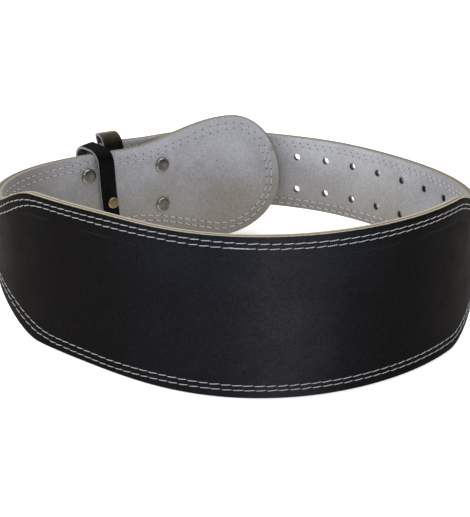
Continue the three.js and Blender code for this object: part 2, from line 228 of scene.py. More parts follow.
def noiseIn(tree, place, scale, detail, roughness=0.55):
    node = addNode(tree, "ShaderNodeTexNoise", {"Detail": detail, "Roughness": roughness})
    tree.links.new(place, node.inputs["Vector"])
    if isinstance(scale, (int, float)):
        node.inputs["Scale"].default_value = scale
    else:
        tree.links.new(scale, node.inputs["Scale"])
    return node.outputs["Fac"]


# Grain: pebbles from cell distance, broken by fine noise. Height goes to a bump, Wear to colour and roughness.
grainGroup, grainIn, grainOut = newGroup("leatherGrain", {"Pebbles": 1100.0, "Creases": 60.0}, ("Height", "Wear"))
grainPlace = addNode(grainGroup, "ShaderNodeTexCoord").outputs["Object"]
pebbles = addNode(grainGroup, "ShaderNodeTexVoronoi", {"Randomness": 1.0}, feature="SMOOTH_F1")
grainGroup.links.new(grainPlace, pebbles.inputs["Vector"])
grainGroup.links.new(grainIn.outputs["Pebbles"], pebbles.inputs["Scale"])
creases = noiseIn(grainGroup, grainPlace, grainIn.outputs["Creases"], 5.0, 0.6)
pores = noiseIn(grainGroup, grainPlace, 2600.0, 2.0)
grainHeight = mathNode(grainGroup, "MULTIPLY_ADD", pebbles.outputs["Distance"], 0.55, mathNode(grainGroup, "MULTIPLY", pores, 0.35))
grainGroup.links.new(mathNode(grainGroup, "MULTIPLY_ADD", creases, 0.5, grainHeight), grainOut.inputs["Height"])
grainGroup.links.new(rampNode(grainGroup, creases, 0.35, 0.7), grainOut.inputs["Wear"])

# Nap: fine fibres and soft clumps. Height goes to a bump, Shade to the colour, Blotch to slow stains.
napGroup, napIn, napOut = newGroup("fibreNap", {"Fibres": 2200.0, "Clumps": 260.0, "Blotches": 22.0}, ("Height", "Shade", "Blotch"))
napPlace = addNode(napGroup, "ShaderNodeTexCoord").outputs["Object"]
fibres = noiseIn(napGroup, napPlace, napIn.outputs["Fibres"], 4.0, 0.75)
clumps = noiseIn(napGroup, napPlace, napIn.outputs["Clumps"], 5.0, 0.65)
blotches = noiseIn(napGroup, napPlace, napIn.outputs["Blotches"], 4.0, 0.6)
napGroup.links.new(mathNode(napGroup, "MULTIPLY_ADD", fibres, 0.6, mathNode(napGroup, "MULTIPLY", clumps, 0.9)), napOut.inputs["Height"])
napGroup.links.new(mathNode(napGroup, "MULTIPLY_ADD", fibres, 0.45, mathNode(napGroup, "MULTIPLY", clumps, 0.55)), napOut.inputs["Shade"])
napGroup.links.new(rampNode(napGroup, blotches, 0.32, 0.68), napOut.inputs["Blotch"])


def newMaterial(name, roughness, metallic=0.0, specular=0.5, **values):
    material = bpy.data.materials.new(name)
    material.use_nodes = True
    tree = material.node_tree
    shader = tree.nodes["Principled BSDF"]
    shader.inputs["Roughness"].default_value = roughness
    shader.inputs["Metallic"].default_value = metallic
    shader.inputs["Specular IOR Level"].default_value = specular
    for key, value in values.items():
        shader.inputs[key].default_value = value
    return material, tree, shader


def addBump(tree, shader, height, strength, distance, below=None):
    bump = addNode(tree, "ShaderNodeBump", {"Strength": strength, "Distance": distance})
    tree.links.new(height, bump.inputs["Height"])
    if below is not None:
        tree.links.new(below, bump.inputs["Normal"])
    tree.links.new(bump.outputs["Normal"], shader.inputs["Normal"])
    return bump.outputs["Normal"]


def makeCutEdge(tree, nap, depth, pale):
    # raw leather at the cut edge: tan fibres, light tan along the back and greyer and darker elsewhere, which is
    # painted shade on the edges of the flap and tongue; darker at the glued joint
    tan = mixColours(tree, pale, (0.26, 0.245, 0.205), (0.45, 0.40, 0.30))
    fibre = mixColours(tree, rampNode(tree, nap.outputs["Shade"], 0.38, 0.6), mixColours(tree, 0.6, (0.10, 0.08, 0.06), tan), tan)
    off = mathNode(tree, "ABSOLUTE", mathNode(tree, "SUBTRACT", depth, belt["joint"]))
    joint = rampNode(tree, mathNode(tree, "MULTIPLY_ADD", nap.outputs["Shade"], 0.9, off), 0.9, 1.6)
    return mixColours(tree, joint, (0.18, 0.145, 0.10), fibre)


blackLeather, tree, shader = newMaterial("blackLeather", 0.62, specular=0.025)
grain = placeGroup(tree, grainGroup, Pebbles=1150.0, Creases=45.0)
nap = placeGroup(tree, napGroup, Fibres=1700.0, Clumps=520.0)
depth, edge, pale = readAttribute(tree, "depth"), readAttribute(tree, "edge"), readAttribute(tree, "pale")
place = addNode(tree, "ShaderNodeSeparateXYZ")
tree.links.new(addNode(tree, "ShaderNodeTexCoord").outputs["Object"], place.inputs[0])
# painted sheen: navy in the middle of the back, with painted top light over it and a painted highlight streak beside
# it; black and then brown towards its sides
across = place.outputs["X"]
# painted sheen: the navy middle stands in for a bluish reflection
middle = rampNode(tree, mathNode(tree, "ABSOLUTE", mathNode(tree, "SUBTRACT", across, 0.010)), 0.104, 0.022)
tone = mixColours(tree, middle, (0.0042, 0.0034, 0.0030), (0.0112, 0.0111, 0.0150))
tone = mixColours(tree, rampNode(tree, mathNode(tree, "ABSOLUTE", across), 0.118, 0.16), tone, (0.0088, 0.0054, 0.0030))
# painted light: the navy middle is lighter towards its top
lit = mathNode(tree, "MULTIPLY", middle, rampNode(tree, place.outputs["Z"], 0.058, 0.088))
tone = mixColours(tree, lit, tone, (0.0112, 0.0132, 0.0190))
# painted highlight: a soft upright streak of reflected light beside the middle
highlightStreak = rampNode(tree, mathNode(tree, "ABSOLUTE", mathNode(tree, "SUBTRACT", across, 0.029)), 0.044, 0.003)
tone = mixColours(tree, highlightStreak, tone, (0.0235, 0.0237, 0.0288))
speckle = noiseIn(tree, addNode(tree, "ShaderNodeTexCoord").outputs["Object"], 620.0, 4.0, 0.75)
tone = mixColours(tree, rampNode(tree, speckle, 0.34, 0.66), mixColours(tree, 0.76, (0.0, 0.0, 0.0), tone), mixColours(tree, 0.997, (1.0, 1.0, 1.0), tone))
faceColour = mixColours(tree, grain.outputs["Wear"], mixColours(tree, 0.82, (0.0, 0.0, 0.0), tone), tone)
fold = mathNode(tree, "MULTIPLY", mathNode(tree, "SUBTRACT", edge, 13.6), mathNode(tree, "SUBTRACT", edge, 13.6))
crease = mathNode(tree, "MULTIPLY", rampNode(tree, fold, 0.8, 0.0), rampNode(tree, place.outputs["Z"], 0.06, 0.07))
crease = mathNode(tree, "MULTIPLY", crease, rampNode(tree, noiseIn(tree, addNode(tree, "ShaderNodeTexCoord").outputs["Object"], 26.0, 2.0), 0.38, 0.66))
faceColour = mixColours(tree, mathNode(tree, "MULTIPLY", crease, 0.22), faceColour, (0.030, 0.030, 0.034))
raw = makeCutEdge(tree, nap, depth, pale)
# the dye stops unevenly on the cut edge, and a punched hole shows the undyed middle
ragged = mathNode(tree, "MULTIPLY_ADD", nap.outputs["Shade"], 3.0, mathNode(tree, "MULTIPLY_ADD", edge, 1.2, depth))
ragged = mathNode(tree, "MULTIPLY_ADD", readAttribute(tree, "bare"), -2.0, ragged)
dyed = rampNode(tree, ragged, 6.75, 7.15)
punched = mathNode(tree, "MULTIPLY", rampNode(tree, edge, 3.0, 3.4), rampNode(tree, depth, 6.05, 5.75))
faceColour = mixColours(tree, dyed, raw, faceColour)
tree.links.new(mixColours(tree, punched, faceColour, (0.46, 0.44, 0.40)), shader.inputs["Base Color"])
gloss = mathNode(tree, "MULTIPLY_ADD", grain.outputs["Wear"], 0.12, 0.56)
tree.links.new(mathNode(tree, "MAXIMUM", gloss, mathNode(tree, "SUBTRACT", 0.95, dyed)), shader.inputs["Roughness"])
addBump(tree, shader, mathNode(tree, "MULTIPLY_ADD", crease, -0.8, grain.outputs["Height"]), 0.6, 0.0003)

greySuede, tree, shader = newMaterial("greySuede", 0.95, specular=0.1)
shader.inputs["Sheen Weight"].default_value = 0.15
shader.inputs["Sheen Roughness"].default_value = 0.6
nap = placeGroup(tree, napGroup, Fibres=1500.0, Clumps=520.0, Blotches=24.0)
edge, depth, pale = readAttribute(tree, "edge"), readAttribute(tree, "depth"), readAttribute(tree, "pale")
place = addNode(tree, "ShaderNodeTexCoord").outputs["Object"]
height = addNode(tree, "ShaderNodeSeparateXYZ")
tree.links.new(place, height.inputs[0])
# painted top light, pale and cool at the top, and painted shade, brown and dark at the bottom, with green and violet
# casts between
level = mathNode(tree, "MULTIPLY_ADD", nap.outputs["Blotch"], 0.018, height.outputs["Z"])
cast = mixColours(tree, rampNode(tree, noiseIn(tree, place, 17.0, 3.0), 0.38, 0.62), (0.247, 0.249, 0.244), (0.260, 0.253, 0.281))
# painted shade: browner and darker low down
low = mixColours(tree, rampNode(tree, level, 0.024, 0.080), (0.166, 0.135, 0.093), cast)
# painted light: paler and cooler high up
soft = mixColours(tree, rampNode(tree, level, 0.056, 0.104), low, (0.460, 0.457, 0.517))
# the tongue's half of the strip is a little paler
soft = mixColours(tree, mathNode(tree, "MULTIPLY_ADD", readAttribute(tree, "flapSideHalf"), -0.05, 0.05), soft, (0.70, 0.71, 0.78))
# painted shade with some grime: browner and darker near the low edge
edgeShadeAndGrime = mathNode(tree, "MULTIPLY", rampNode(tree, edge, 13.0, 4.0), rampNode(tree, height.outputs["Z"], 0.060, 0.022))
soft = mixColours(tree, mathNode(tree, "MULTIPLY", edgeShadeAndGrime, 0.62), soft, (0.118, 0.092, 0.062))
# painted shade, darker and browner where the loop turns at both sides; painted light on the tongue's upper half next to
# the flap
flankShade = rampNode(tree, height.outputs["X"], -0.094, -0.164)
soft = mixColours(tree, mathNode(tree, "MULTIPLY", flankShade, 0.95), soft, (0.086, 0.064, 0.038))
soft = mixColours(tree, mathNode(tree, "MULTIPLY", rampNode(tree, height.outputs["X"], 0.126, 0.152), 0.62), soft, (0.12, 0.12, 0.125))
# painted light on the tongue next to the flap, where the flap keeps light off
besideFlapLight = mathNode(tree, "MULTIPLY", rampNode(tree, height.outputs["X"], 0.138, 0.100), mathNode(tree, "SUBTRACT", 1.0, readAttribute(tree, "flapSideHalf")))
besideFlapLight = mathNode(tree, "MULTIPLY", besideFlapLight, rampNode(tree, height.outputs["Z"], 0.036, 0.070))
soft = mixColours(tree, mathNode(tree, "MULTIPLY", besideFlapLight, 0.09), soft, (0.95, 0.95, 1.0))
# a worn cloud in the middle of the flap, and a pin mark above it
for where, reach, strength in (((-449.0, 4.0, 0.0), 0.030, 0.09), ((-449.4, 14.75, 0.0), 0.0010, 0.85)):
    gone = addNode(tree, "ShaderNodeVectorMath", {1: tuple(map(float, stripPoint(*where)))}, operation="DISTANCE")
    tree.links.new(place, gone.inputs[0])
    soft = mixColours(tree, mathNode(tree, "MULTIPLY", rampNode(tree, gone.outputs["Value"], reach, reach * 0.2), strength), soft, (0.045, 0.05, 0.055))
mottled = mixColours(tree, nap.outputs["Blotch"], mixColours(tree, 0.90, (0.04, 0.04, 0.045), soft), soft)
fibre = rampNode(tree, nap.outputs["Shade"], 0.36, 0.64)
fluffed = mixColours(tree, fibre, mixColours(tree, 0.72, (0.03, 0.03, 0.03), mottled), mixColours(tree, 0.95, (1.0, 1.0, 1.0), mottled))
# fine wrinkles that fan out from the stitches of the flap
wrinkle = mathNode(tree, "SINE", mathNode(tree, "MULTIPLY_ADD", readAttribute(tree, "run"), 4.6, mathNode(tree, "MULTIPLY", noiseIn(tree, place, 160.0, 2.0), 9.0)))
wrinkle = mathNode(tree, "MULTIPLY", wrinkle, readAttribute(tree, "pucker"))
fluffed = mixColours(tree, mathNode(tree, "MULTIPLY_ADD", wrinkle, 0.12, 0.12), fluffed, (0.62, 0.62, 0.64))
raw = makeCutEdge(tree, nap, depth, pale)
rim = mathNode(tree, "MULTIPLY_ADD", nap.outputs["Shade"], 1.6, mathNode(tree, "SUBTRACT", edge, depth))
suede = mixColours(tree, rampNode(tree, rim, 0.2, 1.6), raw, fluffed)
punched = mathNode(tree, "MULTIPLY", rampNode(tree, edge, 2.6, 3.0), rampNode(tree, depth, 0.25, 0.8))
suede = mixColours(tree, readAttribute(tree, "nick"), suede, (0.19, 0.155, 0.095))
tree.links.new(mixColours(tree, punched, suede, (0.022, 0.020, 0.017)), shader.inputs["Base Color"])
addBump(tree, shader, mathNode(tree, "MULTIPLY_ADD", wrinkle, 0.35, nap.outputs["Height"]), 0.55, 0.0004)

strapLeather, tree, shader = newMaterial("strapLeather", 0.6, specular=0.03)
grain = placeGroup(tree, grainGroup, Pebbles=1500.0, Creases=90.0)
nap = placeGroup(tree, napGroup, Fibres=2000.0, Clumps=600.0)
layer, edge = readAttribute(tree, "layer"), readAttribute(tree, "edge")
faceColour = mixColours(tree, grain.outputs["Wear"], (0.0024, 0.0019, 0.0021), (0.0046, 0.0037, 0.0038))
# real wear on an old band, with painted highlight over its top
wearAndSheen = mathNode(tree, "MULTIPLY", readAttribute(tree, "ageAndSheen"), mathNode(tree, "MULTIPLY_ADD", grain.outputs["Wear"], 0.65, 0.35))
faceColour = mixColours(tree, wearAndSheen, faceColour, (0.074, 0.064, 0.051))
# painted highlight: pale brown at the top of the far bend
faceColour = mixColours(tree, rampNode(tree, readAttribute(tree, "ageAndSheen"), 1.4, 2.8), faceColour, (0.29, 0.265, 0.22))
flesh = mixColours(tree, rampNode(tree, nap.outputs["Shade"], 0.38, 0.62), (0.045, 0.05, 0.06), (0.15, 0.155, 0.17))
raw = mixColours(tree, rampNode(tree, nap.outputs["Shade"], 0.38, 0.6), (0.17, 0.17, 0.175), (0.42, 0.42, 0.425))
topFace = rampNode(tree, mathNode(tree, "MULTIPLY_ADD", nap.outputs["Shade"], 0.3, layer), 0.92, 1.02)
cut = rampNode(tree, mathNode(tree, "MULTIPLY_ADD", nap.outputs["Shade"], 0.4, edge), 0.18, 0.38)  # the corner is worn pale
tree.links.new(mixColours(tree, cut, raw, mixColours(tree, topFace, flesh, faceColour)), shader.inputs["Base Color"])
tree.links.new(mathNode(tree, "MULTIPLY_ADD", mathNode(tree, "MULTIPLY", topFace, cut), -0.38, 0.85), shader.inputs["Roughness"])
addBump(tree, shader, grain.outputs["Height"], 0.3, 0.0002)


def makeMetal(name, bright, dull, roughness, scratches):
    material, tree, shader = newMaterial(name, roughness, metallic=1.0)
    place = addNode(tree, "ShaderNodeTexCoord").outputs["Object"]
    stain = noiseIn(tree, place, 190.0, 5.0, 0.65)
    stretched = addNode(tree, "ShaderNodeMapping", {"Scale": (1.0, 1.0, 0.06)})
    tree.links.new(place, stretched.inputs["Vector"])
    scratch = noiseIn(tree, stretched.outputs["Vector"], 2600.0, 3.0, 0.7)
    # the rolled rim of a rivet is rubbed bright
    rub = readAttribute(tree, "rub")
    face = mixColours(tree, rampNode(tree, stain, 0.35, 0.68), dull, bright)
    tree.links.new(mixColours(tree, rub, face, tuple(min(1.0, 2.3 * c) for c in bright)), shader.inputs["Base Color"])
    rough = mathNode(tree, "MULTIPLY_ADD", stain, 0.3, roughness - 0.12)
    tree.links.new(mathNode(tree, "MULTIPLY_ADD", rub, -0.08, rough), shader.inputs["Roughness"])
    addBump(tree, shader, mathNode(tree, "MULTIPLY_ADD", stain, 0.8, scratch), scratches, 0.00008)
    return material


nickelPlate = makeMetal("nickelPlate", (0.134, 0.122, 0.106), (0.062, 0.055, 0.047), 0.30, 0.3)
dullBrass = makeMetal("dullBrass", (0.158, 0.122, 0.060), (0.104, 0.080, 0.037), 0.42, 0.35)


def makeThread(name, light, dark, roughness):
    material, tree, shader = newMaterial(name, roughness, specular=0.25)
    ply = mathNode(tree, "SINE", readAttribute(tree, "ply"))
    lay = rampNode(tree, ply, -0.9, 0.5)
    tree.links.new(mixColours(tree, lay, dark, light), shader.inputs["Base Color"])
    addBump(tree, shader, ply, 0.5, 0.00012)
    return material


whiteThread = makeThread("whiteThread", (0.56, 0.55, 0.57), (0.24, 0.24, 0.26), 0.75)
greyThread = makeThread("greyThread", (0.66, 0.67, 0.66), (0.36, 0.36, 0.35), 0.8)
# painted shade: the dark colour stands in for the shade down each needle hole
needleHole, tree, shader = newMaterial("needleHole", 0.95, specular=0.05)
tree.links.new(mixColours(tree, noiseIn(tree, addNode(tree, "ShaderNodeTexCoord").outputs["Object"], 900.0, 2.0),
                          (0.026, 0.024, 0.021), (0.070, 0.064, 0.056)), shader.inputs["Base Color"])
print("materials made")

# ---- the strip's outline, and its grid of stations and lines

# Distances in from the edge of the two stitch rows, along the top (1) and the bottom (-1) of the strip.
# They wander, as they were guided by hand.
stitchRows = {
    "at": (-505.0, -475.0, -440.0, -414.0, -350.0, -230.0, -205.0, -188.0, -168.0, -158.0, -150.0, -142.0, -90.0, -50.0, 20.0, 60.0, 150.0, 300.0, 640.0),
    ("outer", 1): (6.0, 4.7, 5.0, 7.1, 4.9, 5.4, 5.3, 4.4, 4.6, 4.3, 3.6, 3.5, 3.2, 2.7, 4.2, 4.4, 3.9, 4.5, 4.5),
    ("inner", 1): (9.8, 8.9, 10.7, 10.5, 9.6, 9.8, 9.6, 9.5, 8.6, 7.8, 6.8, 6.4, 6.9, 6.2, 7.2, 7.4, 6.5, 7.5, 7.4),
    ("outer", -1): (6.0, 5.2, 6.9, 7.0, 4.9, 6.8, 7.4, 7.8, 7.8, 6.8, 6.0, 4.8, 3.7, 5.0, 5.4, 5.6, 6.0, 2.9, 3.5),
    ("inner", -1): (9.8, 9.8, 11.4, 11.0, 9.0, 10.2, 11.4, 12.8, 12.6, 11.4, 9.8, 9.0, 7.8, 8.6, 8.2, 8.4, 9.6, 7.2, 7.4),
}
holes = {"pitch": 25.4, "spacing": 26.6, "radius": 2.7, "used": 3.1, "flare": 0.8, "before": 9, "past": 2, "cells": 16}
cell = holes["pitch"] / holes["cells"]
lowFlap = {"from": -450.0, "height": 48.5}  # below, the flap's end is a longer and lower ellipse
lowReach = lowFlap["from"] - (flapMiddle - belt["flapEnd"])
rises = ((0.8, -85.0, 34.0), (1.2, 497.0, 42.0))  # height, place and reach of two slow swells of the top edge

flapSteps, tipSteps = 46, 30
tipStart = tongueTip - tipRadius
firstCell = math.ceil((flapMiddle - belt["prongHole"]) / cell + 0.3)
lastCell = math.floor((tipStart - belt["prongHole"]) / cell - 0.3)


def sideHeight(distance, side):
    # half width; the flap lacks a little below, and the top edge swells slightly on the back and on the tongue
    if side > 0:
        return halfWidthAt(distance) + sum(up * np.exp(-((distance - at) / reach) ** 2) for up, at, reach in rises)
    past = np.clip((lowFlap["from"] - distance) / lowReach, 0, 1)
    lowest = np.where(distance < -420, lowFlap["height"] * np.sqrt(1 - past ** 2), 99)
    return -0.35 * np.logaddexp(-halfWidthAt(distance) / 0.35, -lowest / 0.35)


def outline(side):
    # flap end: ellipse quarter; straight: a station a cell, in step with the holes; tip: circle quarter
    start = flapMiddle if side > 0 else lowFlap["from"]
    flapX, flapY = (belt["flapEnd"], belt["flapWidth"] / 2) if side > 0 else (lowReach, lowFlap["height"])
    turn = np.linspace(math.pi / 2, math.asin((start - flapMiddle) / flapX), flapSteps, endpoint=False)
    normal = np.stack([np.sin(turn) / flapX, -np.cos(turn) / flapY])
    normal /= np.hypot(*normal)
    flapQuarter = (start - flapX * np.sin(turn), flapY * np.cos(turn), *normal)
    straight = belt["prongHole"] + cell * np.arange(firstCell, lastCell + 1)
    tilt = (sideHeight(straight + 0.1, side) - sideHeight(straight - 0.1, side)) / 0.2
    size = np.hypot(tilt, 1)
    straightRun = (straight, sideHeight(straight, side), tilt / size, -1 / size)
    turn = np.linspace(0, math.pi / 2, tipSteps + 1)
    tipQuarter = (tipStart + tipRadius * np.sin(turn), tipRadius * np.cos(turn), -np.sin(turn), -np.cos(turn))
    return [np.concatenate(parts) for parts in zip(flapQuarter, straightRun, tipQuarter)]


outlines = {side: outline(side) for side in (1, -1)}
edgeAt = outlines[1][0]
stations = len(edgeAt)
edgeRun = np.concatenate([[0], np.cumsum(np.hypot(np.diff(edgeAt), np.diff(outlines[1][1])))])


def rowReach(key, side):
    return np.interp(edgeAt, stitchRows["at"], stitchRows[key, side])


def bandLines(side):
    # lines in from the edge: close together over its rounding and at each stitch row's furrow
    first, second = rowReach("outer", side), rowReach("inner", side)
    fixed = [np.full(stations, value) for value in (0.0, 0.12, 0.4, 0.8, 1.3)]
    furrows = [first + d for d in (-1.1, -0.55, 0, 0.55, 1.1)] + [second + d for d in (-1.1, -0.55, 0, 0.55, 1.2, 2.2)]
    return np.stack(fixed + furrows, axis=1)


rowLine = holes["spacing"] / 2
blockHeights = [rowLine + cell * k for k in (-3, -2, -1, 0, 1, 2, 3)]
fieldHeights = np.array([-h for h in blockHeights[::-1]] + [-5.7, -2.85, 0, 2.85, 5.7] + blockHeights)
fieldEdge = tipRadius - 7.4 - 2.2
fieldShares = (fieldHeights + fieldEdge) / (2 * fieldEdge)


def bandPoints(lines, side):
    # edge point + inward normal x distance, mirrored on the bottom side
    at, height, inAlong, inUp = (values[:, None] for values in outlines[side])
    return at + inAlong * lines, side * (height + inUp * lines)


def stripLayer(name, visibleDepth, hiddenDepth, outwards, edgeProfile, rounding, material):
    # closed layer of the strip: lines in from the outline, then straight across the field, over both faces
    top, bottom = bandLines(1), bandLines(-1)
    topS, topH = bandPoints(top, 1)
    bottomS, bottomH = bandPoints(bottom, -1)
    share = fieldShares[None, :]
    fieldS = blendTo(bottomS[:, -1:], topS[:, -1:], share)
    fieldH = blendTo(bottomH[:, -1:], topH[:, -1:], share)
    fieldIn = np.minimum(np.abs(fieldH - topH[:, -1:]) + top[:, -1:], np.abs(fieldH - bottomH[:, -1:]) + bottom[:, -1:])

    def furrow(lines, side):
        # rounded edge, and a shallow furrow under each stitch row
        sunk = np.interp(lines, rounding[0], rounding[1])
        for key in ("outer", "inner"):
            sunk = sunk + 0.28 * np.exp(-((lines - rowReach(key, side)[:, None]) / 0.6) ** 2)
        return visibleDepth - outwards * sunk

    fieldDepth = np.full_like(fieldS, visibleDepth)
    thin = np.array([p[0] for p in edgeProfile])[None, :] * np.ones((stations, 1))
    thinDepth = np.array([p[1] for p in edgeProfile])[None, :] * np.ones((stations, 1))
    edgeTopS, edgeTopH = bandPoints(thin, 1)
    edgeBottomS, edgeBottomH = bandPoints(thin, -1)
    hiddenTop, hiddenBottom = top[:, [2, -1]], bottom[:, [2, -1]]
    hiddenTopS, hiddenTopH = bandPoints(hiddenTop, 1)
    hiddenBottomS, hiddenBottomH = bandPoints(hiddenBottom, -1)
    flat = lambda like: np.full_like(like, hiddenDepth)

    s = np.hstack([bottomS, fieldS, topS[:, ::-1], edgeTopS, hiddenTopS, fieldS[:, ::-1], hiddenBottomS[:, ::-1], edgeBottomS[:, ::-1]])
    h = np.hstack([bottomH, fieldH, topH[:, ::-1], edgeTopH, hiddenTopH, fieldH[:, ::-1], hiddenBottomH[:, ::-1], edgeBottomH[:, ::-1]])
    d = np.hstack([furrow(bottom, -1), fieldDepth, furrow(top, 1)[:, ::-1], thinDepth, flat(hiddenTop), flat(fieldS), flat(hiddenBottom), thinDepth[:, ::-1]])
    e = np.hstack([bottom, fieldIn, top[:, ::-1], thin, hiddenTop, fieldIn[:, ::-1], hiddenBottom[:, ::-1], thin[:, ::-1]])
    # where the suede fans out in fine wrinkles: run of the nearest outline point, and how strong they are
    outlineS, outlineH = edgeAt[None, None, :], outlines[1][1][None, None, :]
    nearest = np.argmin((s[:, ::4, None] - outlineS) ** 2 + (np.abs(h[:, ::4, None]) - outlineH) ** 2, axis=2)
    run = edgeRun[:, None] * np.ones_like(s)
    sampled = edgeRun[nearest]
    columns = np.arange(s.shape[1])
    for row in range(stations):
        run[row] = np.interp(columns, columns[::4], sampled[row])
    pucker = ease((e - 8.0) / 3) * ease((23.0 - e) / 9) * ease((neckStart - s) / 40) * (0.3 + 0.7 * ease(h / 20))
    # painted shade on the cut edge: 1 along the back, where it stays light tan, 0 on the flap and tongue, where it is
    # darker
    pale = ease((250 - np.abs(s)) / 100)
    # 1 on the flap's half of the strip, 0 on the tongue's half
    flapSideHalf = ease(0.5 - s / 200)
    bare = np.exp(-((s + 192) / 32) ** 2) * (h > 0)
    nick = np.exp(-((s + 494.6) ** 2 + (h - 22.6) ** 2) / 1.7 ** 2)

    # holes: the cells round each centre open into a circle, and a wall joins the two faces
    lines, across = s.shape[1], len(fieldShares)
    keep = np.ones((stations - 1, lines), dtype=bool)
    walls = []
    ring = [(-2, k) for k in range(-2, 2)] + [(k, 2) for k in range(-2, 2)] + [(2, -k) for k in range(-2, 2)] + [(-k, -2) for k in range(-2, 2)]
    for hole in range(-holes["before"], holes["past"] + 1):
        i0 = flapSteps + (hole * holes["cells"] - firstCell)
        wide = (holes["radius"] if hole else holes["used"]) + holes["flare"] * (outwards > 0)  # the prongs widened theirs
        for row, field in ((-1, 3), (1, across - 4)):
            visible = bottom.shape[1] + field
            hidden = bottom.shape[1] + across + top.shape[1] + thin.shape[1] + 2 + across - 1 - field
            for middle, flip, lip in ((visible, 1, 0.22), (hidden, -1, 0.0)):
                for di in range(-3, 4):
                    for dj in range(-3, 4):
                        reach = max(abs(di), abs(dj))
                        if reach < 2:
                            continue
                        i, j = i0 + di, middle + flip * dj
                        angle = math.atan2(dj, di)
                        radius = wide if reach == 2 else holes["radius"] + 2.1
                        share = 1.0 if reach == 2 else 0.6
                        s[i, j] = blendTo(s[i, j], edgeAt[i0] + radius * math.cos(angle), share)
                        h[i, j] = blendTo(h[i, j], row * rowLine + radius * math.sin(angle), share)
                        if reach == 2:
                            d[i, j] -= outwards * lip
                low = min(middle - 2, middle + 1) if flip == 1 else middle - 2
                keep[i0 - 2:i0 + 2, low:low + 4] = False
            loop = [((i0 + a) * lines + visible + b, (i0 + a) * lines + hidden - b) for a, b in ring]
            for (v1, h1), (v2, h2) in zip(loop, loop[1:] + loop[:1]):
                walls.append((v1, v2, h2, h1))

    quads = gridQuads(stations, lines, closeColumns=True)[keep].tolist()
    piece = makePiece(name, stripPoint(s, h, d), quads + walls, [material], {"edge": e, "depth": d, "run": run, "pucker": pucker, "pale": pale, "flapSideHalf": flapSideHalf, "nick": nick, "bare": bare})
    return piece


shell = stripLayer("outerLeather", belt["wall"], belt["joint"], 1,
                   [(0.0, 4.4), (0.03, 3.6), (0.3, belt["joint"] + 0.1)],
                   ([0, 0.12, 0.4, 0.8, 1.3], [1.1, 0.55, 0.2, 0.06, 0.0]), blackLeather)
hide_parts("outer_shell")
lining = stripLayer("suedeLining", 0.0, belt["joint"], -1,
                    [(0.0, 1.7), (0.03, 2.6), (0.3, belt["joint"] - 0.1)],
                    ([0, 0.12, 0.4, 0.8, 1.3], [0.9, 0.5, 0.2, 0.06, 0.0]), greySuede)
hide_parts("suede_lining")
print("strip:", len(shell.data.polygons), "and", len(lining.data.polygons), "faces")

# ---- stitches: thread that rises from one needle hole, lies over the leather and dives into the next

stitch = {"pitch": 6.65, "length": 6.25, "radius": 0.28, "slant": 0.26}


